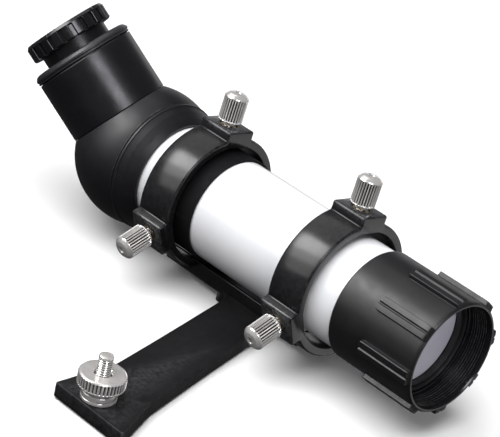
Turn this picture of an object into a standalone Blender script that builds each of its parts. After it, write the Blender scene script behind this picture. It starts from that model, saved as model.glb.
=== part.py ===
"""Finder scope with a 45 degree erecting diagonal, in its two-ring bracket.

Metres, +Z up.  The origin is on the seat face under the bracket's foot.  +X runs along
the tube towards the objective, and the foot lies to the -Y side of the tube.
All the constants below are in millimetres and are turned into metres where they are used.
"""
import math

import bmesh
import bpy
from mathutils import Matrix, Vector

MM = 0.001
GAP = 0.3                      # clearance kept between pieces that touch

# Tube axis and the main stations along it
AXIS_Y, AXIS_Z = 69.0, 25.4
FRONT_RING = (1.0, 13.0)
REAR_RING = (-53.0, -41.0)
RING_OUTER, RING_BORE = 20.8, 18.2
TUBE_R, TUBE_WALL = 15.9, 1.0
TUBE_ENDS = (-62.0, 26.0)
BAND_ENDS, BAND_RADII = (-51.0, -36.0), (16.2, 16.65)
HOUSING_ENDS, HOUSING_R = (21.0, 51.7), 16.8
DOME_X, DOME_R, DOME_WALL = -73.7, 21.4, 3.0
COLLAR_ENDS = (-66.2, -59.2)

# Foot, arm and bar of the bracket
STUD_Y = -8.6
FOOT_THICK = 4.4
STUD_R, STUD_TOP = 2.0, 17.6
BAR_HALF, BAR_Z = 5.3, (2.8, 9.0)
BOSS_TOP, BOSS_HALF = 23.0, 5.2

# Thumbscrews: angle about the tube from vertical, and where the head starts
SCREWS = {"top": (7.5, 23.9), "foot_side": (-111.0, 23.8), "far_side": (129.0, 24.5)}
HEAD_R, HEAD_LEN = 3.6, 8.2
SHANK_R = 1.5
TIP_R = {"front": 17.15, "rear": 16.95}

# The eyepiece leans back 45 degrees and 22 degrees towards the foot
EYE_TILT, EYE_TURN = 45.0, 22.0
BARREL_R, BARREL_ENDS = 15.6, (15.1, 34.0)
CAP_R, CAP_ENDS = 15.9, (34.3, 37.0)
SLEEVE_R, SLEEVE_ENDS = 10.6, (24.0, 42.2)
FOCUS_R, FOCUS_ENDS = 13.2, (40.5, 45.8)

for old in list(bpy.data.objects):
    bpy.data.objects.remove(old, do_unlink=True)

parts = bpy.data.collections.new("finder_scope")
cutters = bpy.data.collections.new("cutters")
bpy.context.scene.collection.children.link(parts)
bpy.context.scene.collection.children.link(cutters)


def material(name, colour, roughness, metallic=0.0):
    made = bpy.data.materials.new(name)
    made.use_nodes = True
    shader = made.node_tree.nodes["Principled BSDF"]
    shader.inputs["Base Color"].default_value = (*colour, 1.0)
    shader.inputs["Roughness"].default_value = roughness
    shader.inputs["Metallic"].default_value = metallic
    return made


BLACK = material("black_plastic", (0.02, 0.02, 0.022), 0.35)
SATIN = material("satin_black", (0.025, 0.024, 0.027), 0.45)
RUBBER = material("rubber", (0.03, 0.03, 0.032), 0.7)
WHITE = material("white_enamel", (0.85, 0.86, 0.88), 0.2)
NICKEL = material("nickel", (0.75, 0.73, 0.7), 0.25, 1.0)
BRASS = material("brass", (0.78, 0.6, 0.3), 0.35, 1.0)
GLASS = material("coated_glass", (0.7, 0.68, 0.76), 0.05)
DARK = material("dark_metal", (0.03, 0.03, 0.03), 0.6, 0.6)


def along_tube():
    """Local +Z becomes +X, so a profile's height is a station along the tube."""
    return Matrix.Translation((0, AXIS_Y * MM, AXIS_Z * MM)) @ Matrix.Rotation(math.pi / 2, 4, "Y")


def towards(direction, base):
    turn = direction.to_track_quat("Z", "Y").to_matrix().to_4x4()
    return Matrix.Translation(base) @ turn


def eyepiece_direction():
    tilt, turn = math.radians(EYE_TILT), math.radians(EYE_TURN)
    up = Vector((0, -math.sin(turn), math.cos(turn)))
    return (Vector((-math.cos(tilt), 0, 0)) + up * math.sin(tilt)).normalized()


DOME_CENTRE = Vector((DOME_X, AXIS_Y, AXIS_Z)) * MM
EYE = eyepiece_direction()
ALONG_TUBE = along_tube()
ALONG_EYE = towards(EYE, DOME_CENTRE)


def finish(obj, place, look, home):
    obj.matrix_world = place
    home.objects.link(obj)
    if home is cutters:
        obj.hide_render = True
        obj.display_type = "WIRE"
    else:
        obj.data.materials.append(look)
    return obj


def turned(name, profile, place, look=None, steps=48, home=parts):
    """Spin (radius, height) points about local Z; the outer side runs top to bottom.

    A profile that starts and ends on the axis is a solid; any other one is a closed ring.
    """
    ring = profile[0][0] > 0
    mesh = bpy.data.meshes.new(name)
    points = [(r * MM, 0, z * MM) for r, z in profile]
    edges = [(i, i + 1) for i in range(len(points) - 1)]
    if ring:
        edges.append((len(points) - 1, 0))
    mesh.from_pydata(points, edges, [])
    obj = bpy.data.objects.new(name, mesh)
    spin = obj.modifiers.new("spin", "SCREW")
    spin.axis = "Z"
    spin.angle = 2 * math.pi
    spin.steps = spin.render_steps = steps
    spin.use_merge_vertices = True
    spin.merge_threshold = 0.000001
    spin.use_smooth_shade = True
    return finish(obj, place, look, home)


def ring_profile(inner, outer, low, high, ease=0.0):
    if not ease:
        return [(outer, high), (outer, low), (inner, low), (inner, high)]
    return [(outer - ease, high), (outer, high - ease), (outer, low + ease),
            (outer - ease, low), (inner, low), (inner, high)]


def rod_profile(radius, low, high, ease=0.0):
    if not ease:
        return [(0, high), (radius, high), (radius, low), (0, low)]
    return [(0, high), (radius - ease, high), (radius, high - ease),
            (radius, low + ease), (radius - ease, low), (0, low)]


def box(name, low, high, place=Matrix.Identity(4), look=None, home=parts):
    bpy.ops.mesh.primitive_cube_add(size=1)
    obj = bpy.context.object
    obj.name = obj.data.name = name
    for owner in list(obj.users_collection):
        owner.objects.unlink(obj)
    size = [(b - a) * MM for a, b in zip(low, high)]
    centre = [(b + a) / 2 * MM for a, b in zip(low, high)]
    obj.data.transform(Matrix.Translation(centre) @ Matrix.Diagonal((*size, 1)))
    return finish(obj, place, look, home)


def plate(name, outline, low, high, place=Matrix.Identity(4), look=None, home=parts):
    """Extrude a flat outline, in the local XY plane, between two heights."""
    curve = bpy.data.curves.new(name, "CURVE")
    curve.dimensions = "2D"
    curve.fill_mode = "BOTH"
    curve.extrude = (high - low) / 2 * MM
    line = curve.splines.new("POLY")
    line.points.add(len(outline) - 1)
    line.use_cyclic_u = True
    for point, (x, y) in zip(line.points, outline):
        point.co = (x * MM, y * MM, 0, 1)
    drawn = bpy.data.objects.new(name + "_outline", curve)
    parts.objects.link(drawn)
    bpy.context.view_layer.update()
    mesh = bpy.data.meshes.new_from_object(drawn.evaluated_get(
        bpy.context.evaluated_depsgraph_get()))
    bpy.data.objects.remove(drawn)
    weld(mesh)
    mesh.transform(Matrix.Translation((0, 0, (high + low) / 2 * MM)))
    mesh.name = name
    return finish(bpy.data.objects.new(name, mesh), place, look, home)


def weld(mesh):
    work = bmesh.new()
    work.from_mesh(mesh)
    bmesh.ops.remove_doubles(work, verts=work.verts, dist=0.000001)
    work.to_mesh(mesh)
    work.free()


def combine(target, tool, operation, solver="EXACT"):
    step = target.modifiers.new(tool.name, "BOOLEAN")
    step.operation = operation
    step.solver = solver
    step.object = tool


def rounded_corner(corner, before, after, radius, points=5):
    """Points of an arc of the given radius that replaces a corner of an outline."""
    c, a, b = Vector(corner), Vector(before), Vector(after)
    u, v = (a - c).normalized(), (b - c).normalized()
    half = u.angle(v) / 2
    start, end = c + u * radius / math.tan(half), c + v * radius / math.tan(half)
    middle = c + (u + v).normalized() * radius / math.sin(half)
    first, sweep = start - middle, (start - middle).angle_signed(end - middle)
    arc = []
    for i in range(points):
        turn = -sweep * i / (points - 1)
        arc.append((middle.x + first.x * math.cos(turn) - first.y * math.sin(turn),
                    middle.y + first.x * math.sin(turn) + first.y * math.cos(turn)))
    return arc


def radial_place(angle, station):
    a = math.radians(angle)
    way = Vector((0, math.sin(a), math.cos(a)))
    side = Vector((1, 0, 0))
    turn = Matrix((side, way.cross(side), way)).transposed().to_4x4()
    return Matrix.Translation(Vector((station, AXIS_Y, AXIS_Z)) * MM) @ turn


# Bracket: a flat arm from the foot to a bar under the tube, two rings and six bosses
bar_side = AXIS_Y - BAR_HALF
bar_edge = bar_side + 0.05
inner_corner = rounded_corner((-25.2, bar_edge), (-40.0, bar_edge), (-16.0, 27.3), 5.0)
arm_outline = ([(-11.3, -14.0), (16.2, -14.0), (8.3, 3.6), (1.5, 27.1), (-5.1, 50.9),
                (-9.1, AXIS_Y - 2.0), (-30.0, AXIS_Y - 2.0)]
               + inner_corner + [(-16.0, 27.3), (-11.3, 8.0)])
bracket = plate("bracket", arm_outline, 0.0, FOOT_THICK, look=BLACK)
bar = box("bar", (REAR_RING[0] + 0.4, bar_side, BAR_Z[0]),
          (FRONT_RING[0] + 2.2, AXIS_Y + BAR_HALF, BAR_Z[1]), home=cutters)
combine(bracket, bar, "UNION")
STATIONS = {"front": sum(FRONT_RING) / 2, "rear": sum(REAR_RING) / 2}
for where, (low, high) in {"front": FRONT_RING, "rear": REAR_RING}.items():
    hoop = turned(where + "_hoop", rod_profile(RING_OUTER, low, high), ALONG_TUBE,
                  steps=48, home=cutters)
    combine(bracket, hoop, "UNION")
    for side, (angle, head) in SCREWS.items():
        boss = box(f"{where}_{side}_boss", (-5.8, -BOSS_HALF, 12.0),
                   (5.8, BOSS_HALF, BOSS_TOP), radial_place(angle, STATIONS[where]),
                   home=cutters)
        combine(bracket, boss, "UNION")
for where, station in STATIONS.items():
    for side, (angle, head) in SCREWS.items():
        hole = turned(f"{where}_{side}_hole", rod_profile(2.75, 15.0, 30.0),
                      radial_place(angle, station), steps=16, home=cutters)
        combine(bracket, hole, "DIFFERENCE")
stud_place = Matrix.Translation((0, STUD_Y * MM, 0))
stud_hole = turned("stud_hole", rod_profile(STUD_R + GAP, -3, 8), stud_place, steps=24,
                   home=cutters)
combine(bracket, stud_hole, "DIFFERENCE")
ring_bore = turned("ring_bore", rod_profile(RING_BORE, REAR_RING[0] - 2, FRONT_RING[1] + 2),
                   ALONG_TUBE, steps=48, home=cutters)
combine(bracket, ring_bore, "DIFFERENCE")

# Stud, washer and knurled nut that clamp the foot
turned("mount_stud", rod_profile(STUD_R, 0.3, STUD_TOP, 0.4), stud_place, NICKEL, 24)
turned("nut_washer", ring_profile(STUD_R + GAP, 5.0, FOOT_THICK + 0.2, 5.5, 0.15), stud_place,
       NICKEL, 28)
turned("thumb_nut", [(6.2, 12.4), (6.6, 12.0), (6.6, 8.9), (6.2, 8.4), (4.6, 8.2), (4.6, 7.2),
                     (5.0, 6.9), (5.0, 5.9), (4.7, 5.7), (STUD_R + GAP, 5.7),
                     (STUD_R + GAP, 12.4)], stud_place, NICKEL, 28)

# Threaded inserts and thumbscrews, three to a ring
for where, station in STATIONS.items():
    for side, (angle, head) in SCREWS.items():
        place = radial_place(angle, station)
        name = f"{where}_{side}"
        turned(f"insert_{name}", ring_profile(SHANK_R + 0.15, 2.6, 18.9, BOSS_TOP - 0.4, 0.2),
               place, BRASS, 12)
        tip = TIP_R[where]
        turned(f"shank_{name}", rod_profile(SHANK_R, tip, head + 2.0, 0.3), place, NICKEL, 12)
        top = head + HEAD_LEN
        turned(f"head_{name}", [(0, top + 0.9), (2.0, top + 0.6), (3.1, top), (HEAD_R, top - 0.5),
                                (HEAD_R, head + 0.4), (3.2, head), (2.3, head),
                                (2.3, BOSS_TOP + GAP), (SHANK_R + 0.15, BOSS_TOP + GAP),
                                (SHANK_R + 0.15, head + 2.3), (0, head + 2.3)],
               place, NICKEL, 18)

# Main tube, the band it pivots in and its glare stop
turned("tube", ring_profile(TUBE_R - TUBE_WALL, TUBE_R, *TUBE_ENDS), ALONG_TUBE, WHITE, 48)
turned("tube_band", ring_profile(*BAND_RADII, *BAND_ENDS), ALONG_TUBE, RUBBER, 48)
turned("glare_stop", [(14.7, 1.2), (14.7, -3.0), (14.0, -3.0), (14.0, 0.2), (9.0, 0.2),
                      (9.0, 0.6), (9.6, 1.2)], ALONG_TUBE, DARK, 32)

# Objective: cell, cemented pair, retaining ring and the ribbed housing
turned("objective_cell", [(15.1, 43.2), (15.1, 30.0), (12.6, 30.0), (12.6, 33.0), (14.4, 33.0),
                          (14.4, 43.2)], ALONG_TUBE, DARK, 32)


def lens(name, radius, low, high, sag_low, sag_high, place, steps=28, rings=3):
    """A disc whose two faces are arcs of the given height; positive sags bulge outwards."""
    upper = [(radius * i / rings, high - sag_high * (i / rings) ** 2) for i in range(rings + 1)]
    lower = [(radius * i / rings, low + sag_low * (i / rings) ** 2)
             for i in range(rings, -1, -1)]
    return turned(name, upper + lower, place, GLASS, steps)


lens("flint_lens", 14.0, 34.3, 37.0, -0.9, -1.3, ALONG_TUBE)
lens("crown_lens", 14.0, 37.2, 41.3, 1.3, 1.2, ALONG_TUBE)
turned("lens_retainer", ring_profile(13.4, 14.1, 40.7, 42.4), ALONG_TUBE, DARK, 32)

front, rear = HOUSING_ENDS[1], HOUSING_ENDS[0]
housing = turned("objective_housing",
                 [(15.9, front), (HOUSING_R, front - 0.6), (HOUSING_R, rear + 0.8),
                  (HOUSING_R - 0.4, rear), (16.1, rear), (16.1, 27.6), (15.3, 28.4),
                  (15.3, 43.6), (15.5, front - 0.3)], ALONG_TUBE, BLACK, 48)
rib_outline = [(-2.0, front - 0.9), (2.0, front - 0.9), (2.0, 34.3), (1.2, 33.5),
               (-1.2, 33.5), (-2.0, 34.3)]
for number in range(8):
    turn = Matrix.Rotation(math.radians(6 + 45 * number), 4, "X")
    lay = Matrix(((0, 1, 0, 0), (1, 0, 0, 0), (0, 0, 1, 0), (0, 0, 0, 1)))
    rib = plate(f"rib_{number}", rib_outline[::-1], 16.0, 18.2,
                Matrix.Translation((0, AXIS_Y * MM, AXIS_Z * MM)) @ turn
                @ Matrix.Rotation(math.pi / 2, 4, "Z") @ Matrix.Rotation(math.pi, 4, "Y")
                @ Matrix.Rotation(math.pi, 4, "X"), home=cutters)
    combine(housing, rib, "UNION")

# Diagonal: collar on the tube, round prism housing, prism and its clip
turned("collar", [(17.0, COLLAR_ENDS[1]), (18.2, -60.9), (19.3, -63.2), (20.0, -65.6),
                  (20.0, COLLAR_ENDS[0]), (17.9, COLLAR_ENDS[0]), (17.9, -62.8),
                  (TUBE_R + GAP, -62.8), (TUBE_R + GAP, COLLAR_ENDS[1])], ALONG_TUBE, SATIN, 48)
bpy.ops.mesh.primitive_uv_sphere_add(segments=32, ring_count=16, radius=DOME_R * MM)
dome = bpy.context.object
dome.name = dome.data.name = "prism_housing"
for owner in list(dome.users_collection):
    owner.objects.unlink(dome)
finish(dome, ALONG_EYE, SATIN, parts)
for polygon in dome.data.polygons:
    polygon.use_smooth = True
spigot = turned("spigot", rod_profile(17.6, DOME_X + 1, -63.1), ALONG_TUBE, steps=48, home=cutters)
face_cut = turned("face_cut", rod_profile(30.0, COLLAR_ENDS[0] - GAP, -40.0), ALONG_TUBE,
                  steps=24, home=cutters)
seat_cut = turned("seat_cut", rod_profile(30.0, BARREL_ENDS[0] - GAP, 30.0), ALONG_EYE,
                  steps=24, home=cutters)
room = turned("room", [(0, DOME_R - DOME_WALL)]
              + [((DOME_R - DOME_WALL) * math.sin(math.radians(t)),
                  (DOME_R - DOME_WALL) * math.cos(math.radians(t))) for t in range(15, 180, 15)]
              + [(0, -(DOME_R - DOME_WALL))], ALONG_EYE, steps=32, home=cutters)
tube_way = turned("tube_way", rod_profile(14.8, DOME_X, -50.0), ALONG_TUBE, steps=40, home=cutters)
eye_way = turned("eye_way", rod_profile(12.4, 0.0, 40.0), ALONG_EYE, steps=40, home=cutters)
combine(dome, seat_cut, "DIFFERENCE")
combine(dome, face_cut, "DIFFERENCE")
combine(dome, spigot, "UNION")
combine(dome, room, "DIFFERENCE", "MANIFOLD")
combine(dome, tube_way, "DIFFERENCE", "MANIFOLD")
combine(dome, eye_way, "DIFFERENCE", "MANIFOLD")

# The prism lies in the plane of the tube and the eyepiece: local X along the tube
up = (EYE + Vector((1, 0, 0)) * math.cos(math.radians(EYE_TILT))).normalized()
fold = Matrix.Translation(DOME_CENTRE) @ Matrix(
    (Vector((1, 0, 0)), up, Vector((1, 0, 0)).cross(up))).transposed().to_4x4()
reach = 9.0 * math.sqrt(2)
prism_outline = [(9.0, -9.0), (9.0, 9.0), (0.0, reach), (-reach, 0.0), (-6.4, -10.9)]
plate("prism", prism_outline, -8.5, 8.5, fold, GLASS)
plate("prism_clip", [(-reach - 0.3, -1.6), (-7.0, -11.0), (-7.9, -11.8), (-14.2, -0.9)],
      -6.0, 6.0, fold, NICKEL)

# Eyepiece: barrel, cap ring, stop and reticle, then the sliding sleeve with its lenses
turned("eyepiece_barrel", ring_profile(13.0, BARREL_R, *BARREL_ENDS), ALONG_EYE, SATIN, 40)
low, high = CAP_ENDS
turned("barrel_cap", [(CAP_R - 1.3, high), (CAP_R - 0.3, high - 0.5), (CAP_R, high - 1.35),
                      (CAP_R - 0.3, low + 0.5), (CAP_R - 1.0, low), (12.8, low), (12.8, 31.0),
                      (SLEEVE_R + 0.2, 31.0), (SLEEVE_R + 0.2, high)], ALONG_EYE, RUBBER, 48)
turned("reticle_holder", [(12.8, 22.0), (12.8, 18.5), (8.0, 18.5), (8.0, 19.5), (9.4, 19.5),
                          (9.4, 22.0)], ALONG_EYE, DARK, 28)
turned("reticle_glass", rod_profile(9.2, 19.7, 20.9), ALONG_EYE, GLASS, 24)
turned("eyepiece_sleeve", ring_profile(9.2, SLEEVE_R, *SLEEVE_ENDS, 0.3), ALONG_EYE, SATIN, 40)
lens("field_lens", 9.0, 28.5, 32.7, 0.9, 1.3, ALONG_EYE, 24)
turned("lens_spacer", ring_profile(8.3, 9.0, 31.7, 37.6), ALONG_EYE, DARK, 28)
lens("eye_lens", 9.0, 36.6, 41.4, 1.2, 1.0, ALONG_EYE, 24)
low, high = FOCUS_ENDS
turned("focus_ring", [(FOCUS_R - 1.2, high), (FOCUS_R, high - 0.8), (FOCUS_R, low + 0.5),
                      (FOCUS_R - 0.5, low), (SLEEVE_R + 0.2, low), (SLEEVE_R + 0.2, 42.5),
                      (8.2, 42.5), (8.2, 43.6), (10.0, high)], ALONG_EYE, BLACK, 40)

for obj in parts.objects:
    obj.data.set_sharp_from_angle(angle=math.radians(35))
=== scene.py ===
"""Finder scope: the visual model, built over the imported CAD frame.

Dimensions are in millimetres in the part's own frame (tube axis along +X, seat face at
Z = 0) and are turned into metres where a mesh is made. Lights and floor are in metres.
"""
import math

import bmesh
import bpy
from mathutils import Matrix, Vector


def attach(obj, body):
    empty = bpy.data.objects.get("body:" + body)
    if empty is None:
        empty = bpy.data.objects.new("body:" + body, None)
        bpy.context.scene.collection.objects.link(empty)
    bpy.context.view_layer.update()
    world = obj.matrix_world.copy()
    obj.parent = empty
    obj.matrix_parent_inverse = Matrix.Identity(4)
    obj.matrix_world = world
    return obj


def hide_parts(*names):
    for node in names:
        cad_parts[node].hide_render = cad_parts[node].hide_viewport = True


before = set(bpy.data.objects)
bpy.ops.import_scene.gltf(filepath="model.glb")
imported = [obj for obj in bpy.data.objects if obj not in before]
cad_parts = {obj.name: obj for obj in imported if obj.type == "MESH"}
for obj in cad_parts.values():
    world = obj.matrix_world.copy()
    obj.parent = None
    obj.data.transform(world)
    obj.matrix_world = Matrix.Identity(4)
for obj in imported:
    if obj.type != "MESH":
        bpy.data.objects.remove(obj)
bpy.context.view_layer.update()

MM = 0.001
AXIS = Vector((0.0, 69.0, 25.4)) * MM  # the tube's axis at X = 0
FRONT_RING, REAR_RING = (1.0, 13.0), (-53.0, -41.0)  # where each ring starts and ends on X
STATIONS = {"front": sum(FRONT_RING) / 2, "rear": sum(REAR_RING) / 2}
RING_OUTER, RING_BORE = 20.8, 18.2
BOSS_TOP, BOSS_HALF = 23.0, 5.2
# each screw's angle from +Z towards +Y in degrees, and its head's distance from the axis
SCREWS = {"top": (7.5, 23.9), "foot_side": (-111.0, 23.8), "far_side": (129.0, 24.5)}
TIP_R = {"front": 17.15, "rear": 16.95}  # how near the screws' tips come to the axis
SCREW_R, STUD_R, SCREW_PITCH = 1.5, 2.0, 0.7
STUD_Y = -8.6
ARM_THICK = 4.4
TUBE_R = 15.9
DOME_X, DOME_R = -73.7, 21.4
BARREL_SEAT, COLLAR_FACE_X = 14.8, -66.5  # where the dome is cut flat
EYE_TILT, EYE_TURN = math.radians(45.0), math.radians(22.0)
SHARP = 32.0  # degrees between faces from which an edge stays sharp

# ---------------------------------------------------------------- camera and stage

VIEW_AZIMUTH, VIEW_ELEVATION, VIEW_ROLL = 40.127, 26.364, 13.000
VIEW_AIM, VIEW_DISTANCE = Vector((-21.65, 60.82, 32.29)) * MM, 655.0 * MM
LIGHTS_AIM = Vector((-20.0, 50.0, 30.0)) * MM

scene = bpy.context.scene
lens_data = bpy.data.cameras.new("photo_view")
lens_data.sensor_width = 36.0
lens_data.lens = 166.85
lens_data.clip_start = 0.01
camera = bpy.data.objects.new("photo_view", lens_data)
facing = (Matrix.Rotation(math.radians(VIEW_AZIMUTH), 4, "Z")
          @ Matrix.Rotation(math.radians(90.0 - VIEW_ELEVATION), 4, "X")
          @ Matrix.Rotation(math.radians(VIEW_ROLL), 4, "Z"))
camera.matrix_world = (Matrix.Translation(VIEW_AIM) @ facing
                       @ Matrix.Translation((0, 0, VIEW_DISTANCE)))
scene.collection.objects.link(camera)
scene.camera = camera
scene.view_settings.view_transform = "Standard"


def softbox(name, way, distance, size, radiance, tint=(1.0, 1.0, 1.0), gloss=True, lit=True):
    """An area light in direction way from the object, its first side as near X as can be.

    gloss and lit say whether reflections and diffuse surfaces see it.
    """
    data = bpy.data.lights.new(name, "AREA")
    data.shape = "RECTANGLE"
    data.size, data.size_y = size
    data.energy = radiance * size[0] * size[1] * math.pi
    data.color = tint
    lamp = bpy.data.objects.new(name, data)
    aim = Vector(way).normalized()
    along = (Vector((1.0, 0.0, 0.0)) - aim * aim.x).normalized()
    turned = Matrix((along, aim.cross(along), aim)).transposed().to_4x4()
    lamp.matrix_world = Matrix.Translation(LIGHTS_AIM + aim * distance) @ turned
    lamp.visible_glossy, lamp.visible_diffuse = gloss, lit
    scene.collection.objects.link(lamp)


softbox("overhead_fill", (0.0, -0.40, 1.0), 1.3, (1.5, 1.5), 5.0, gloss=False)
# three nested boxes over the back of the near side make one highlight with a bright core
for label, lean_deg, across, radiance in (("wide", 48.0, 0.61, 1.8), ("mid", 38.0, 0.38, 2.6),
                                          ("core", 31.0, 0.21, 4.6)):
    lean_by = math.radians(lean_deg)
    softbox("rear_box_" + label, (-0.5, -0.87 * math.sin(lean_by), 0.87 * math.cos(lean_by)), 0.6,
            (0.40, across), radiance, lit=False)
softbox("rear_halo", (-0.50, -0.05, 0.86), 0.62, (0.50, 0.70), 0.8, lit=False)
softbox("far_wall", (-0.45, 0.88, 0.03), 0.8, (1.4, 0.30), 0.55, lit=False)
softbox("camera_box", (0.67, -0.36, 0.63), 0.7, (0.30, 0.27), 9.0, (0.94, 0.94, 1.0), lit=False)
softbox("front_low", (0.58, 0.68, -0.44), 0.8, (0.5, 0.5), 0.9, lit=False)
softbox("front_fill", (0.94, -0.30, 0.10), 0.7, (0.5, 0.5), 2.2, gloss=False)
softbox("back_fill", (-0.25, 0.95, 0.20), 0.9, (0.9, 0.6), 1.2, gloss=False)

# brightness from straight down (0) over the horizon (0.5) to straight up (1)
SKY = ((0.30, 0.06), (0.52, 0.22), (0.68, 0.12), (1.0, 0.10))
SKY_BLUE = 1.05
world = bpy.data.worlds.new("studio")
world.use_nodes = True
sky, sky_links = world.node_tree.nodes, world.node_tree.links
height = sky.new("ShaderNodeSeparateXYZ")
sky_links.new(sky.new("ShaderNodeTexCoord").outputs["Generated"], height.inputs[0])
gradient = sky.new("ShaderNodeValToRGB")
while len(gradient.color_ramp.elements) < len(SKY):
    gradient.color_ramp.elements.new(0.5)
for stop, (at, level) in zip(gradient.color_ramp.elements, SKY):
    stop.position, stop.color = at, (level, level, level * SKY_BLUE, 1.0)
shift = sky.new("ShaderNodeMapRange")
shift.inputs["From Min"].default_value = -1.0
sky_links.new(height.outputs["Z"], shift.inputs["Value"])
sky_links.new(shift.outputs["Result"], gradient.inputs["Fac"])
sky_links.new(gradient.outputs["Color"], sky["Background"].inputs["Color"])
scene.world = world


# ---------------------------------------------------------------- materials

class Look:
    """A Principled material whose colour, roughness and relief come from noise."""

    def __init__(self, name, colour, roughness, metallic=0.0):
        self.made = bpy.data.materials.new(name)
        self.made.use_nodes = True
        self.nodes, self.links = self.made.node_tree.nodes, self.made.node_tree.links
        self.shader = self.nodes["Principled BSDF"]
        self.shader.inputs["Base Color"].default_value = (*colour, 1.0)
        self.shader.inputs["Roughness"].default_value = roughness
        self.shader.inputs["Metallic"].default_value = metallic
        self.place = self.nodes.new("ShaderNodeTexCoord").outputs["Object"]
        self.relief = None

    def noise(self, size_mm, detail=3.0, stretch=None):
        """Noise with features of about size_mm; stretch scales the three axes."""
        tex = self.nodes.new("ShaderNodeTexNoise")
        tex.inputs["Scale"].default_value = 1.0 / (size_mm * MM)
        tex.inputs["Detail"].default_value = detail
        source = self.place
        if stretch:
            spread = self.nodes.new("ShaderNodeMapping")
            spread.inputs["Scale"].default_value = stretch
            self.links.new(self.place, spread.inputs["Vector"])
            source = spread.outputs["Vector"]
        self.links.new(source, tex.inputs["Vector"])
        return tex.outputs["Fac"]

    def ranged(self, source, low, high, start=0.3, stop=0.7):
        """Bring a source that runs from start to stop to the range low to high."""
        step = self.nodes.new("ShaderNodeMapRange")
        step.inputs["From Min"].default_value = start
        step.inputs["From Max"].default_value = stop
        step.inputs["To Min"].default_value = low
        step.inputs["To Max"].default_value = high
        self.links.new(source, step.inputs["Value"])
        return step.outputs["Result"]

    def rough(self, source, low, high):
        """Vary the roughness with a source."""
        self.links.new(self.ranged(source, low, high), self.shader.inputs["Roughness"])
        return self

    def tint(self, source, dark, light, start=0.35, stop=0.65):
        """Vary the colour with a source."""
        ramp = self.nodes.new("ShaderNodeValToRGB")
        ramp.color_ramp.elements[0].position = start
        ramp.color_ramp.elements[1].position = stop
        ramp.color_ramp.elements[0].color = (*dark, 1.0)
        ramp.color_ramp.elements[1].color = (*light, 1.0)
        self.links.new(source, ramp.inputs["Fac"])
        self.links.new(ramp.outputs["Color"], self.shader.inputs["Base Color"])
        return self

    def wear_and_edge_highlight(self, light, start=0.525, stop=0.60):
        """Paint the convex edges lighter, broken up by noise: partly rubbed wear, partly a painted
        highlight on the rounded edges.
        """
        sharp = self.nodes.new("ShaderNodeNewGeometry").outputs["Pointiness"]
        edge = self.ranged(sharp, 0.0, 1.0, start, stop)
        patch = self.ranged(self.noise(1.2), 0.0, 1.0)
        both = self.nodes.new("ShaderNodeMath")
        both.operation = "MULTIPLY"
        self.links.new(edge, both.inputs[0])
        self.links.new(patch, both.inputs[1])
        return self.blend(both.outputs[0], light)

    def groove_shade(self, dark, start, stop):
        """Paint shade into the grooves, darkening the colour where the surface turns inwards."""
        sharp = self.nodes.new("ShaderNodeNewGeometry").outputs["Pointiness"]
        return self.blend(self.ranged(sharp, 1.0, 0.0, start, stop), dark)

    def painted_shade(self, reach_mm, dark):
        """Paint shade into the colour where another part stands close over a surface."""
        near = self.nodes.new("ShaderNodeAmbientOcclusion")
        near.inputs["Distance"].default_value = reach_mm * MM
        return self.blend(self.ranged(near.outputs["AO"], 1.0, 0.0, 0.0, 0.5), dark)

    def blend(self, share, other):
        """Mix the colour so far with another by the share given."""
        mix = self.nodes.new("ShaderNodeMix")
        mix.data_type = "RGBA"
        base = self.shader.inputs["Base Color"]
        if base.is_linked:
            self.links.new(base.links[0].from_socket, mix.inputs["A"])
        else:
            mix.inputs["A"].default_value = base.default_value
        mix.inputs["B"].default_value = (*other, 1.0)
        self.links.new(share, mix.inputs["Factor"])
        self.links.new(mix.outputs["Result"], base)
        return self

    def bump(self, source, height_mm):
        """Add relief on top of what relief there is."""
        step = self.nodes.new("ShaderNodeBump")
        step.inputs["Distance"].default_value = height_mm * MM
        self.links.new(source, step.inputs["Height"])
        if self.relief:
            self.links.new(self.relief, step.inputs["Normal"])
        self.relief = step.outputs["Normal"]
        self.links.new(self.relief, self.shader.inputs["Normal"])
        return self

    def set(self, **values):
        """Set the shader's own sockets, with _ for each space in a name."""
        for key, value in values.items():
            self.shader.inputs[key.replace("_", " ")].default_value = value
        return self


def plastic(name, colour, low, high, grain, relief, light):
    """Moulded plastic: roughness from low to high, grain and relief in mm, lighter edges (partly
    wear, partly painted highlight).
    """
    look = Look(name, colour, low)
    look.tint(look.noise(9.0), [c * 0.85 for c in colour], [c * 1.2 for c in colour])
    look.rough(look.noise(3.0, 5.0), low, high)
    look.bump(look.noise(grain, 2.0), relief)
    # edges painted lighter: partly wear, partly painted highlight
    return look.wear_and_edge_highlight(light).set(IOR=1.48)


# the last colour of each is painted onto the convex edges: partly wear, partly painted highlight
GLOSS = plastic("gloss_black", (0.005, 0.005, 0.0055), 0.17, 0.23, 0.22, 0.001,
                (0.10, 0.10, 0.105))
CAST = plastic("cast_black", (0.006, 0.006, 0.0065), 0.46, 0.56, 0.30, 0.004,
               (0.10, 0.10, 0.105))
CAST.set(Specular_IOR_Level=0.16)
HOUSING = plastic("housing_black", (0.006, 0.006, 0.0065), 0.34, 0.44, 0.25, 0.003,
                  (0.10, 0.10, 0.11))
SATIN = plastic("satin_black", (0.005, 0.0048, 0.006), 0.27, 0.34, 0.30, 0.006,
                (0.03, 0.028, 0.034))
DOME = plastic("dome_black", (0.005, 0.0048, 0.006), 0.38, 0.46, 0.30, 0.006,
              (0.04, 0.04, 0.045))
RUBBER = plastic("rubber_black", (0.005, 0.005, 0.0055), 0.62, 0.78, 0.25, 0.006,
                 (0.03, 0.03, 0.03))
RUBBER.set(Specular_IOR_Level=0.12)
CAP = plastic("cap_black", (0.016, 0.016, 0.018), 0.34, 0.44, 0.20, 0.0015,
              (0.03, 0.03, 0.03))

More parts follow.
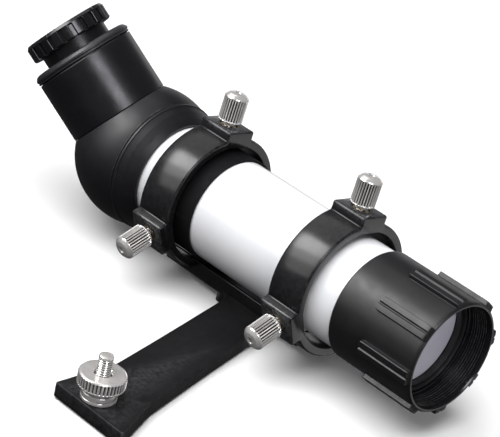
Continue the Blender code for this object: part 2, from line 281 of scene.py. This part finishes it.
ENAMEL = Look("white_enamel", (0.82, 0.83, 0.85), 0.12)
ENAMEL.tint(ENAMEL.noise(14.0), (0.80, 0.81, 0.835), (0.84, 0.845, 0.86))
# painted shade on the tube next to the rings and the bar
ENAMEL.painted_shade(3.2, (0.22, 0.22, 0.25))
ENAMEL.rough(ENAMEL.noise(5.0, 4.0), 0.08, 0.18)
ENAMEL.bump(ENAMEL.noise(1.1, 1.0), 0.004)
ENAMEL.set(Coat_Weight=0.12, Coat_Roughness=0.08, Specular_IOR_Level=0.35)

TURNED = (1.0, 1.0, 6.0)  # stretches noise into the rings that a lathe tool leaves
NICKEL = Look("nickel", (0.88, 0.85, 0.81), 0.2, 0.72)
NICKEL.tint(NICKEL.noise(2.2, 4.0), (0.86, 0.83, 0.80), (0.97, 0.95, 0.93))
NICKEL.rough(NICKEL.noise(0.6, 4.0), 0.10, 0.26)
# painted shade: the knurls' and threads' grooves darkened almost to black
NICKEL.groove_shade((0.02, 0.018, 0.016), 0.45, 0.508)
NICKEL.bump(NICKEL.noise(0.12, 2.0, TURNED), 0.0015)

BRASS = Look("brass", (0.75, 0.56, 0.27), 0.3, 1.0)
BRASS.tint(BRASS.noise(1.5, 4.0), (0.58, 0.41, 0.18), (0.80, 0.62, 0.32))
BRASS.rough(BRASS.noise(0.5, 4.0), 0.22, 0.42)
BRASS.bump(BRASS.noise(0.1, 2.0, TURNED), 0.002)

ANODISED = Look("black_anodised", (0.012, 0.012, 0.012), 0.5)
ANODISED.tint(ANODISED.noise(3.0), (0.009, 0.009, 0.009), (0.016, 0.016, 0.016))
ANODISED.rough(ANODISED.noise(1.0, 4.0), 0.4, 0.6)
ANODISED.bump(ANODISED.noise(0.15, 2.0), 0.004)


def glass(name, colour, roughness, share):
    """Glass that lets the given share of light through."""
    look = Look(name, colour, roughness)
    look.rough(look.noise(3.0, 5.0), roughness, roughness + 0.04)
    look.bump(look.noise(6.0, 1.0), 0.001)
    return look.set(Transmission_Weight=share, IOR=1.55)


GLASS = glass("optical_glass", (0.95, 0.95, 0.97), 0.0, 1.0)
# painted reflection: the coated lenses' light lavender colour stands in for the coating's sheen and
# the bright surroundings
COATED_PAINTED_SHEEN = glass("coated_lens_painted_sheen", (0.86, 0.84, 0.95), 0.03, 0.26)


# ---------------------------------------------------------------- mesh helpers

def soften(corners, steps=4):
    """Round the corners of a closed outline given as (x, y, rounding)."""
    out = []
    count = len(corners)
    for i, (x, y, rounding) in enumerate(corners):
        here = Vector((x, y))
        if rounding <= 0:
            out.append((x, y))
            continue
        a = Vector(corners[i - 1][:2]) - here
        b = Vector(corners[(i + 1) % count][:2]) - here
        angle = a.angle(b)
        cut = min(rounding / math.tan(angle / 2), 0.45 * a.length, 0.45 * b.length)
        start, end = here + a.normalized() * cut, here + b.normalized() * cut
        for k in range(steps + 1):
            t = k / steps
            point = start * (1 - t) ** 2 + here * (2 * t * (1 - t)) + end * t * t
            out.append((point.x, point.y))
    return out


def divide(outline, spots):
    """Add heights from spots to an outline wherever one of its edges passes them."""
    out = []
    for (r0, z0), (r1, z1) in zip(outline, outline[1:] + outline[:1]):
        out.append((r0, z0))
        inside = sorted((z for z in spots if min(z0, z1) < z < max(z0, z1)), reverse=z1 < z0)
        for z in inside:
            t = (z - z0) / (z1 - z0)
            out.append((r0 + (r1 - r0) * t, z))
    return out


def grid_mesh(name, rows, wrap_rows=True, caps=False, sharp=SHARP):
    """Quads between closed loops of points; a one-point row is a pole."""
    mesh = bpy.data.meshes.new(name)
    work = bmesh.new()
    made = [[work.verts.new((x * MM, y * MM, z * MM)) for x, y, z in row] for row in rows]
    count = len(made) if wrap_rows else len(made) - 1
    for i in range(count):
        a, b = made[i], made[(i + 1) % len(made)]
        if len(a) == 1 and len(b) == 1:
            continue
        n = max(len(a), len(b))
        for k in range(n):
            j = (k + 1) % n
            if len(a) == 1:
                work.faces.new((a[0], b[k], b[j]))
            elif len(b) == 1:
                work.faces.new((a[k], b[0], a[j]))
            else:
                work.faces.new((a[k], b[k], b[j], a[j]))
    if caps:
        work.faces.new(made[0])
        work.faces.new(made[-1][::-1])
    bmesh.ops.recalc_face_normals(work, faces=work.faces)
    for face in work.faces:
        face.smooth = True
    work.to_mesh(mesh)
    work.free()
    mesh.set_sharp_from_angle(angle=math.radians(sharp))
    return bpy.data.objects.new(name, mesh)


POLE_R = 1e-6


def lathe(name, outline, steps=160, wave=None, sharp=SHARP):
    """Spin (radius, height) points about local Z; wave(r, z, angle) may change a radius."""
    closed = outline[0][0] > POLE_R
    rows = []
    for r, z in outline:
        if r <= POLE_R:
            rows.append([(0.0, 0.0, z)])
            continue
        row = []
        for k in range(steps):
            a = 2 * math.pi * k / steps
            radius = wave(r, z, a) if wave else r
            row.append((radius * math.cos(a), radius * math.sin(a), z))
        rows.append(row)
    return grid_mesh(name, rows, wrap_rows=closed, sharp=sharp)


def ring(name, inner, outer, low, high, ease=0.3, steps=160):
    """A plain sleeve with eased edges."""
    outline = soften([(outer, high, ease), (outer, low, ease), (inner, low, ease),
                      (inner, high, ease)], 3)
    return lathe(name, outline, steps)


def offset(outline, amount):
    """Move a counter-clockwise closed outline inwards."""
    out = []
    count = len(outline)
    for i in range(count):
        a, b, c = (Vector(outline[j % count]) for j in (i - 1, i, i + 1))
        u, v = (b - a).normalized(), (c - b).normalized()
        normal = Vector((-u.y - v.y, u.x + v.x))
        scale = max(normal.length_squared / 2, 0.3)
        move = normal * (amount / scale)
        out.append((b.x + move.x, b.y + move.y))
    return out


# an eased edge as shares of the ease, inwards and along
EASE_STEPS = [(1.0, 0.0), (0.55, 0.1), (0.2, 0.4), (0.0, 1.0)]


def prism(name, outline, low, high, ease=0.4):
    """Extrude a counter-clockwise outline along Z with eased edges and flat ends."""
    rows = [[(x, y, low + ease * h) for x, y in offset(outline, ease * d)]
            for d, h in EASE_STEPS]
    rows += [[(x, y, high - ease * h) for x, y in offset(outline, ease * d)]
             for d, h in EASE_STEPS[::-1]]
    return grid_mesh(name, rows, wrap_rows=False, caps=True)


def carve(obj, tools):
    """Cut tools, which are already in place, out of obj."""
    scene.collection.objects.link(obj)
    for tool in tools:
        scene.collection.objects.link(tool)
        step = obj.modifiers.new(tool.name, "BOOLEAN")
        step.operation = "DIFFERENCE"
        step.solver = "EXACT"
        step.object = tool
    bpy.context.view_layer.update()
    graph = bpy.context.evaluated_depsgraph_get()
    mesh = bpy.data.meshes.new_from_object(obj.evaluated_get(graph))
    obj.modifiers.clear()
    obj.data = mesh
    scene.collection.objects.unlink(obj)
    for tool in tools:
        bpy.data.objects.remove(tool)
    mesh.set_sharp_from_angle(angle=math.radians(SHARP))
    return obj


def joined(name, objs):
    """One object out of several, each taken where it stands."""
    work = bmesh.new()
    for obj in objs:
        obj.data.transform(obj.matrix_world)
        work.from_mesh(obj.data)
    mesh = bpy.data.meshes.new(name)
    work.to_mesh(mesh)
    work.free()
    mesh.set_sharp_from_angle(angle=math.radians(SHARP))
    return bpy.data.objects.new(name, mesh)


def put(obj, place, look, body, slot, *nodes):
    """Place a finished piece, let it ride on its body and stand for its CAD nodes."""
    scene.collection.objects.link(obj)
    obj.matrix_world = place
    if not obj.data.materials:
        obj.data.materials.append(look.made)
    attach(obj, body)
    if nodes:
        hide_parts(*nodes)
    return obj


def towards(direction, base):
    """A frame at base whose Z runs along direction."""
    aimed = direction.to_track_quat("Z", "Y").to_matrix().to_4x4()
    return Matrix.Translation(base) @ aimed


def radial_place(angle, station):
    """A frame on the tube's axis at X = station, whose Z runs outwards at the angle."""
    a = math.radians(angle)
    way = Vector((0, math.sin(a), math.cos(a)))
    side = Vector((1, 0, 0))
    turned = Matrix((side, way.cross(side), way)).transposed().to_4x4()
    return Matrix.Translation(Vector((station * MM, AXIS.y, AXIS.z))) @ turned


ALONG_TUBE = Matrix.Translation(AXIS) @ Matrix.Rotation(math.pi / 2, 4, "Y")
lean = Vector((0, -math.sin(EYE_TURN), math.cos(EYE_TURN)))
EYE = (Vector((-math.cos(EYE_TILT), 0, 0)) + lean * math.sin(EYE_TILT)).normalized()
DOME_CENTRE = Vector((DOME_X * MM, AXIS.y, AXIS.z))
ALONG_EYE = towards(EYE, DOME_CENTRE)
AT_STUD = Matrix.Translation((0, STUD_Y * MM, 0))
HERE = Matrix.Identity(4)

# ---------------------------------------------------------------- bracket

HOLE_R = 2.75
BAR_HALF, BAR_LOW, BAR_TOP = 5.3, 2.8, 7.99


def around(angle, radius, aside=0.0):
    """A point in the (y, z) plane about the tube's axis, angle from +Z towards +Y."""
    a = math.radians(angle)
    return (radius * math.sin(a) + aside * math.cos(a), radius * math.cos(a) - aside * math.sin(a))


def hoop_outline():
    """The ring's outer line, clockwise from above the axis, with its three bosses."""
    corner_r = math.sqrt(RING_OUTER ** 2 - BOSS_HALF ** 2) + 0.02  # just clear of the circle
    reach = math.hypot(corner_r, BOSS_HALF)
    spread = math.degrees(math.atan2(BOSS_HALF, corner_r) + math.acos(RING_OUTER / reach))
    points = []
    angles = sorted(a % 360 for a, _ in SCREWS.values())
    for i, a in enumerate(angles):
        points += [(*around(a, corner_r, -BOSS_HALF), 0.5), (*around(a, BOSS_TOP, -BOSS_HALF), 0.8),
                   (*around(a, BOSS_TOP, BOSS_HALF), 0.8), (*around(a, corner_r, BOSS_HALF), 0.5)]
        after = angles[i + 1] if i + 1 < len(angles) else angles[0] + 360
        start, stop = a + spread, after - spread
        count = max(2, int((stop - start) / 2.0))
        points += [(*around(start + (stop - start) * k / count, RING_OUTER), 0.0)
                   for k in range(count + 1)]
    return soften(points, 3)


def hoop(name, low, high):
    """A ring of the bracket from X = low to X = high, with an eased bore."""
    outline = hoop_outline()[::-1]
    ease = 0.55
    rows = []
    for d, h in EASE_STEPS:
        rows.append([(low + ease * h, y, z) for y, z in offset(outline, ease * d)])
    for d, h in EASE_STEPS[::-1]:
        rows.append([(high - ease * h, y, z) for y, z in offset(outline, ease * d)])
    for radius, x in ((RING_BORE + 0.35, high), (RING_BORE + 0.1, high - 0.12),
                      (RING_BORE, high - 0.4), (RING_BORE, low + 0.4),
                      (RING_BORE + 0.1, low + 0.12), (RING_BORE + 0.35, low)):
        rows.append([(x, *[radius * c / math.hypot(y, z) for c in (y, z)]) for y, z in outline])
    made = grid_mesh(name, rows)
    made.data.transform(Matrix.Translation(AXIS))
    return made


pieces = []
for where, ends in (("front", FRONT_RING), ("rear", REAR_RING)):
    body = hoop(where + "_hoop", *ends)
    holes = []
    for angle, _ in SCREWS.values():
        hole = lathe("hole", [(0, 30.0), (HOLE_R, 30.0), (HOLE_R, 16.0), (0, 16.0)], 48)
        hole.matrix_world = radial_place(angle, STATIONS[where])
        holes.append(hole)
    pieces.append(carve(body, holes))

# a shallow channel, open towards the tube, with a lip on each side
section = [(-BAR_HALF, BAR_LOW, 0.6), (BAR_HALF, BAR_LOW, 0.6), (BAR_HALF, BAR_TOP, 0.5),
           (BAR_HALF - 1.1, BAR_TOP, 0.3), (BAR_HALF - 1.3, BAR_TOP - 1.1, 0.2),
           (1.3 - BAR_HALF, BAR_TOP - 1.1, 0.2), (1.1 - BAR_HALF, BAR_TOP, 0.3),
           (-BAR_HALF, BAR_TOP, 0.5)]
bar = prism("bar", soften(section, 4), REAR_RING[0] + 0.3, FRONT_RING[0] + 2.2, 0.45)
# the section's x and y go to Y and Z, and its length to X
bar.matrix_world = (Matrix.Translation((0, AXIS.y, 0))
                    @ Matrix(((0, 0, 1, 0), (1, 0, 0, 0), (0, 1, 0, 0), (0, 0, 0, 1))))
pieces.append(bar)

arm_line = [(-11.3, -14.0, 0.8), (16.2, -14.0, 0.8), (8.3, 3.6, 2.0), (1.5, 27.1, 3.0),
            (-5.1, 50.9, 3.0), (-9.1, 66.5, 0), (-29.6, 66.5, 0), (-30.0, 63.75, 0)]
# the fillet between the bar and the arm's rear edge, a parabola
arm_line += [(-29.0 + 7.6 * t - 2.87 * t * t, 63.75 - 3.68 * t * t, 0)
             for t in (k / 8 for k in range(9))]
arm_line += [(-16.0, 27.3, 3.0), (-11.3, 8.0, 2.0)]
arm = prism("arm", soften(arm_line, 8), 0.0, ARM_THICK, 0.45)
stud_hole_r = STUD_R + 0.3
stud_hole = lathe("stud_hole", [(0, 8.0), (stud_hole_r, 8.0), (stud_hole_r, -3.0), (0, -3.0)], 48)
stud_hole.matrix_world = AT_STUD
pieces.append(carve(arm, [stud_hole]))
# the channel's floor and the whole arm are left as cast: the casting's second material
for face in bar.data.polygons:
    face.material_index = int(face.normal.y > 0.3 and abs(face.center.x) < (BAR_HALF - 0.9) * MM)
for face in arm.data.polygons:
    face.material_index = 1
casting = put(joined("bracket_casting", pieces), HERE, GLOSS, "bracket", "gloss_black", "bracket")
casting.data.materials.append(CAST.made)

# ---------------------------------------------------------------- screws, stud and nut

STUD_TOP = 17.6
THREAD_RUNOUT = 0.4  # plain length at each end of a thread
KNURL_FADE = 0.35


def thread(pitch, depth, low, high):
    """A wave that cuts a helical thread between two heights."""
    def wave(r, z, a):
        if r < 0.3 or not low < z < high:
            return r
        phase = (z / pitch - a / (2 * math.pi)) % 1.0
        fade = min(1.0, (z - low) / pitch, (high - z) / pitch)
        return r - depth * fade * abs(2 * phase - 1)
    return wave


def threaded(name, radius, low, high, pitch, depth, steps, per_turn):
    """A threaded rod; steps go round it and per_turn along each turn of the thread."""
    count = int((high - low) / pitch * per_turn)
    spots = [low + (high - low) * k / count for k in range(1, count)]
    outline = soften([(0, high, 0), (radius, high, 0.35), (radius, low, 0.35), (0, low, 0)], 2)
    helix = thread(pitch, depth, low + THREAD_RUNOUT, high - THREAD_RUNOUT)
    return lathe(name, divide(outline, spots), steps, helix, sharp=70.0)


def knurl(count, depth, low, high, edge):
    """A wave that cuts straight grooves outside the radius edge, between two heights."""
    def wave(r, z, a):
        if r < edge or not low <= z <= high:
            return r
        fade = min(1.0, (z - low) / KNURL_FADE, (high - z) / KNURL_FADE)
        groove = 0.5 + 0.5 * math.cos(count * a)
        return r - depth * max(0.0, fade) * groove ** 0.8
    return wave


HEAD = soften([(0, 8.55, 0), (0.75, 8.55, 0.3), (1.05, 9.05, 0.3), (2.5, 8.75, 1.0),
               (3.45, 7.9, 0.3), (3.6, 7.6, 0.2), (3.6, 0.55, 0.2), (3.3, 0.1, 0.2),
               (2.6, 0.0, 0.2), (2.3, -0.3, 0.2), (2.3, -0.35, 0)])
head_meshes = {}
for side, (_, base) in SCREWS.items():
    neck = BOSS_TOP + 0.3 - base
    outline = divide(HEAD + [(2.3, neck), (0, neck)], [0.6, 0.8, 1.0, 7.2, 7.4, 7.55])
    head_meshes[side] = lathe("head_mesh_" + side, outline, 312,
                              knurl(26, 0.5, 0.5, 7.65, 3.3), sharp=50.0).data
for where, station in STATIONS.items():
    for side, (angle, base) in SCREWS.items():
        name = f"{where}_{side}"
        place = radial_place(angle, station)
        head = bpy.data.objects.new("thumbscrew_head_" + name, head_meshes[side])
        put(head, place @ Matrix.Translation((0, 0, base * MM)), NICKEL, "head_" + name,
            "nickel", "head_" + name)
        shank = threaded("thumbscrew_shank_" + name, SCREW_R, TIP_R[where], base + 2.0,
                         SCREW_PITCH, 0.3, 32, 6)
        put(shank, place, NICKEL, "shank_" + name, "nickel", "shank_" + name)
        sleeve = ring("threaded_insert_" + name, 1.65, 2.6, 18.9, BOSS_TOP - 0.4, 0.15, 48)
        put(sleeve, place, BRASS, "bracket", "brass", "insert_" + name)

put(threaded("pad_stud", STUD_R, 0.3, STUD_TOP, SCREW_PITCH, 0.38, 64, 8), AT_STUD, NICKEL,
    "bracket", "nickel", "mount_stud")
put(ring("stud_washer", 2.3, 5.0, 4.6, 5.5, 0.18, 96), AT_STUD, NICKEL, "washer", "nickel",
    "nut_washer")
NUT = soften([(5.9, 12.4, 0.15), (6.35, 12.25, 0.2), (6.6, 11.9, 0.2), (6.6, 9.0, 0.2),
              (6.3, 8.5, 0.2), (5.6, 8.35, 0.15), (4.6, 8.2, 0.15), (4.55, 7.3, 0.15),
              (5.0, 7.0, 0.2), (5.0, 5.9, 0.15), (4.8, 5.7, 0.1), (2.4, 5.7, 0.2),
              (2.3, 6.0, 0.1), (2.3, 12.0, 0.1), (2.7, 12.4, 0.1)], 3)
nut = lathe("knurled_nut", divide(NUT, [9.1, 9.3, 9.5, 11.5, 11.7, 11.85]), 400,
            knurl(40, 0.35, 8.9, 12.0, 6.2), sharp=50.0)
put(nut, AT_STUD, NICKEL, "nut", "nickel", "thumb_nut")

# ---------------------------------------------------------------- tube and objective

put(ring("main_tube", TUBE_R - 1.0, TUBE_R, -62.0, 26.0, 0.2, 256), ALONG_TUBE, ENAMEL, "tube",
    "white_enamel", "tube")
put(ring("pivot_band", 16.2, 16.65, -51.0, -36.0, 0.15, 256), ALONG_TUBE, RUBBER, "band",
    "rubber", "tube_band")
COLLAR = soften([(17.0, -59.2, 0.25), (18.15, -60.9, 2.0), (19.3, -63.2, 2.0),
                 (20.0, -65.1, 0.3), (20.4, -65.3, 0.2), (20.4, -65.95, 0.2),
                 (20.05, -66.25, 0.1), (17.9, -66.2, 0), (17.9, -62.8, 0), (16.2, -62.8, 0),
                 (16.2, -59.2, 0.2)], 6)
put(lathe("diagonal_collar", COLLAR, 256, sharp=25.0), ALONG_TUBE, DOME, "tube", "satin_black",
    "collar")
put(lathe("front_cell", soften([(15.1, 43.2, 0.2), (15.1, 30.0, 0.2), (12.6, 30.0, 0.1),
                                (12.6, 33.0, 0.1), (14.4, 33.0, 0.1), (14.4, 43.2, 0.3)]), 160),
    ALONG_TUBE, ANODISED, "objective", "dark_metal", "objective_cell")
put(ring("front_retainer", 13.5, 14.1, 40.7, 42.4, 0.2), ALONG_TUBE, ANODISED, "objective",
    "dark_metal", "lens_retainer")


def lens(name, radius, low, high, sag_low, sag_high, rings=12, steps=128):
    """A lens whose faces fall away by a sag towards a ground edge."""
    upper = [(radius * i / rings, high - sag_high * (i / rings) ** 2) for i in range(rings + 1)]
    lower = [(radius * i / rings, low + sag_low * (i / rings) ** 2) for i in range(rings, -1, -1)]
    upper[-1] = (radius - 0.15, upper[-1][1])
    lower[0] = (radius - 0.15, lower[0][1])
    middle = [(radius, upper[-1][1] - 0.15), (radius, lower[0][1] + 0.15)]
    return lathe(name, upper + middle + lower, steps)


put(lens("crown_element", 14.0, 37.2, 41.3, 1.3, 1.2), ALONG_TUBE, COATED_PAINTED_SHEEN, "objective", "glass",
    "crown_lens")
put(lens("flint_element", 14.0, 34.3, 37.0, -0.9, -1.3), ALONG_TUBE, GLASS, "objective", "glass",
    "flint_lens")
put(lens("eye_element", 9.0, 36.6, 41.4, 1.2, 1.0), ALONG_EYE, COATED_PAINTED_SHEEN, "eyepiece", "glass",
    "eye_lens")


def smooth(t):
    """A soft step from 0 to 1."""
    t = min(1.0, max(0.0, t))
    return t * t * (3 - 2 * t)


PADS, PAD_TURN, PAD_REAR = 8, math.radians(6.0), 33.4
PAD_HALF, PAD_RISE, PAD_CORNER, PAD_GROOVE = 1.95, 1.35, 0.6, 0.45
HOUSING_R, HOUSING_BORE = 16.8, 15.3


def grip_pads(r, z, a):
    """Raised pads with rounded rear corners, each two flat ridges and a groove between."""
    if r < 16.5:
        return r
    pitch = 2 * math.pi / PADS
    across = abs(((a - PAD_TURN + pitch / 2) % pitch) - pitch / 2) * HOUSING_R
    rise = 1 - smooth((across - PAD_HALF) / 0.16)
    corner = max(0.0, across - PAD_HALF + 0.5)
    rounding = 1 - math.sqrt(max(0.0, 1 - (corner / PAD_CORNER) ** 2))
    run = smooth((z - PAD_REAR - PAD_CORNER * rounding) / 0.18)
    groove = PAD_GROOVE * (1 - smooth((across - 0.16) / 0.24))
    return r + run * (PAD_RISE * rise - groove)


# fine threads inside the mouth, for a cap or filter
MOUTH_THREADS, MOUTH_PITCH, MOUTH_ROOT = 8, 0.78, 15.72
threads = []
for k in range(MOUTH_THREADS):
    z = 50.7 - MOUTH_PITCH * k
    threads += [(HOUSING_BORE, z, 0), (HOUSING_BORE, z - 0.1, 0),
                (MOUTH_ROOT, z - 0.28, 0), (MOUTH_ROOT, z - 0.36, 0)]
HOUSING_LINE = soften(
    [(15.75, 51.7, 0.12), (16.35, 51.7, 0.2), (16.75, 51.15, 0.25), (HOUSING_R, 50.4, 0.1),
     (HOUSING_R, 21.5, 0.3), (16.5, 21.0, 0.2), (16.1, 21.0, 0.1), (16.1, 27.6, 0),
     (HOUSING_BORE, 28.4, 0), (HOUSING_BORE, 44.0, 0)]
    + threads[::-1] + [(15.5, 51.2, 0.1)], 3)
# close rows where the pads start, wider ones along the rest of the housing
spots = ([33.25 + 0.08 * k for k in range(16)] + [36.0 + 1.4 * k for k in range(10)]
         + [22 + k for k in range(11)] + [49.4, 49.8, 50.1])
housing = lathe("ribbed_housing", divide(HOUSING_LINE, spots), 960, grip_pads, sharp=38.0)
put(housing, ALONG_TUBE, HOUSING, "housing", "gloss_black", "objective_housing")
housing.data.materials.append(GLOSS.made)
for face in housing.data.polygons:
    face.material_index = int(math.hypot(face.center.x, face.center.y) < 15.9 * MM)

# ---------------------------------------------------------------- diagonal

DOME_WALL, DOME_ROWS, RIM_NEAR = 3.0, 72, 1e-5


def shell(radius, wall, seat, face_x):
    """A hollow ball cut flat where the barrel and the collar meet it."""
    balls = []
    for r in (radius, radius - wall):
        arc = [math.pi * i / DOME_ROWS for i in range(DOME_ROWS + 1)]
        ball = lathe("ball", [(r * math.sin(a), r * math.cos(a)) for a in arc], 2 * DOME_ROWS)
        ball.data.transform(ALONG_EYE)
        work = bmesh.new()
        work.from_mesh(ball.data)
        for point, normal in ((DOME_CENTRE + EYE * seat * MM, EYE),
                              (Vector((face_x * MM, 0, 0)), Vector((1, 0, 0)))):
            bmesh.ops.bisect_plane(work, geom=work.verts[:] + work.edges[:] + work.faces[:],
                                   dist=1e-7, plane_co=point, plane_no=normal, clear_outer=True)
        balls.append(work)
    inner = bpy.data.meshes.new("inner")
    bmesh.ops.reverse_faces(balls[1], faces=balls[1].faces)
    balls[1].to_mesh(inner)
    outer = balls[0]
    outer.from_mesh(inner)
    rims = [e for e in outer.edges if e.is_boundary]
    seat_rims = [e for e in rims if all(
        abs((v.co - DOME_CENTRE).dot(EYE) - seat * MM) < RIM_NEAR for v in e.verts)]
    on_seat = set(seat_rims)
    face_rims = [e for e in rims if e not in on_seat]
    for edges in (seat_rims, face_rims):
        bmesh.ops.bridge_loops(outer, edges=edges)
    for f in outer.faces:
        f.smooth = True
    mesh = bpy.data.meshes.new("dome")
    outer.to_mesh(mesh)
    outer.free()
    mesh.set_sharp_from_angle(angle=math.radians(SHARP))
    return bpy.data.objects.new("prism_dome", mesh)


put(shell(DOME_R, DOME_WALL, BARREL_SEAT, COLLAR_FACE_X), HERE, DOME, "diagonal", "satin_black",
    "prism_housing")
BARREL = soften([(15.45, 34.0, 0.2), (15.6, 33.6, 0.1), (15.6, 15.1, 0.2), (15.4, 14.85, 0.1),
                 (13.0, 14.85, 0), (13.0, 34.0, 0)], 3)
put(lathe("diagonal_barrel", divide(BARREL, [18, 22, 26, 30]), 256), ALONG_EYE, SATIN, "diagonal",
    "satin_black", "eyepiece_barrel")
CAP_LINE = soften([(14.3, 37.0, 0.5), (15.15, 36.75, 1.0), (15.9, 35.75, 0.8),
                   (15.9, 35.15, 0.25), (15.55, 35.0, 0.1), (15.55, 34.8, 0.1),
                   (15.75, 34.7, 0.1), (15.7, 34.3, 0.15), (12.8, 34.3, 0), (12.8, 31.0, 0),
                   (10.8, 31.0, 0), (10.8, 36.9, 0.3)], 5)
put(lathe("barrel_flange", CAP_LINE, 256), ALONG_EYE, CAP, "diagonal", "rubber", "barrel_cap")
put(ring("sliding_sleeve", 9.2, 10.6, 24.0, 42.2, 0.2, 200), ALONG_EYE, SATIN, "eyepiece",
    "satin_black", "eyepiece_sleeve")

FLUTES, FLUTE_DEPTH, FLUTE_TOP, FOCUS_R = 22, 0.75, 44.8, 13.2
FLUTE_PITCH = 2 * math.pi * FOCUS_R / FLUTES


def flutes(r, z, a):
    """Castellated grip: flats with square grooves between them."""
    if r < FOCUS_R - 0.3 or z > FLUTE_TOP + 0.05:
        return r
    across = abs(((FLUTES * a / (2 * math.pi)) % 1.0) - 0.5) * FLUTE_PITCH
    inside = 1 - smooth((across - 0.55) / 0.25)
    fade = smooth((FLUTE_TOP - z) / 0.3)
    return r - FLUTE_DEPTH * inside * fade


FOCUS_LINE = soften([(12.1, 45.8, 0.25), (12.55, 45.8, 0.2), (FOCUS_R, 44.9, 0.2),
                     (FOCUS_R, 40.9, 0.2), (12.75, 40.5, 0.2), (10.8, 40.5, 0.1), (10.8, 42.5, 0),
                     (8.2, 42.5, 0.1), (8.2, 43.6, 0.3), (10.4, 45.3, 0.6), (11.0, 45.75, 0.3)], 4)
focus = lathe("focus_grip", divide(FOCUS_LINE, [44.2, 44.45, 44.55, 44.65, 44.75]), 880, flutes,
              sharp=35.0)
put(focus, ALONG_EYE, GLOSS, "focus", "gloss_black", "focus_ring")

# CAD nodes that stay as they are, with a finished material each
for node, look in {"glare_stop": ANODISED, "prism": GLASS, "prism_clip": NICKEL,
                   "reticle_holder": ANODISED, "reticle_glass": GLASS, "field_lens": GLASS,
                   "lens_spacer": ANODISED}.items():
    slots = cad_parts[node].data.materials
    slots.clear()
    slots.append(look.made)

# ---------------------------------------------------------------- floor

paper = Look("paper", (0.9, 0.9, 0.9), 0.8)
paper.tint(paper.noise(60.0), (0.88, 0.88, 0.88), (0.92, 0.92, 0.92))
paper.bump(paper.noise(3.0), 0.02)
FLOOR_HALF, FLOOR_Z = 4.0, -0.0005
plate = bpy.data.meshes.new("floor")
plate.from_pydata([(x * FLOOR_HALF, y * FLOOR_HALF, FLOOR_Z)
                   for x, y in ((-1, -1), (1, -1), (1, 1), (-1, 1))], [], [(0, 1, 2, 3)])
floor = bpy.data.objects.new("floor", plate)
plate.materials.append(paper.made)
scene.collection.objects.link(floor)
# kept out of reflections, shadows and bounced light, so that the surroundings stay even
floor.visible_glossy = floor.visible_shadow = floor.visible_diffuse = False
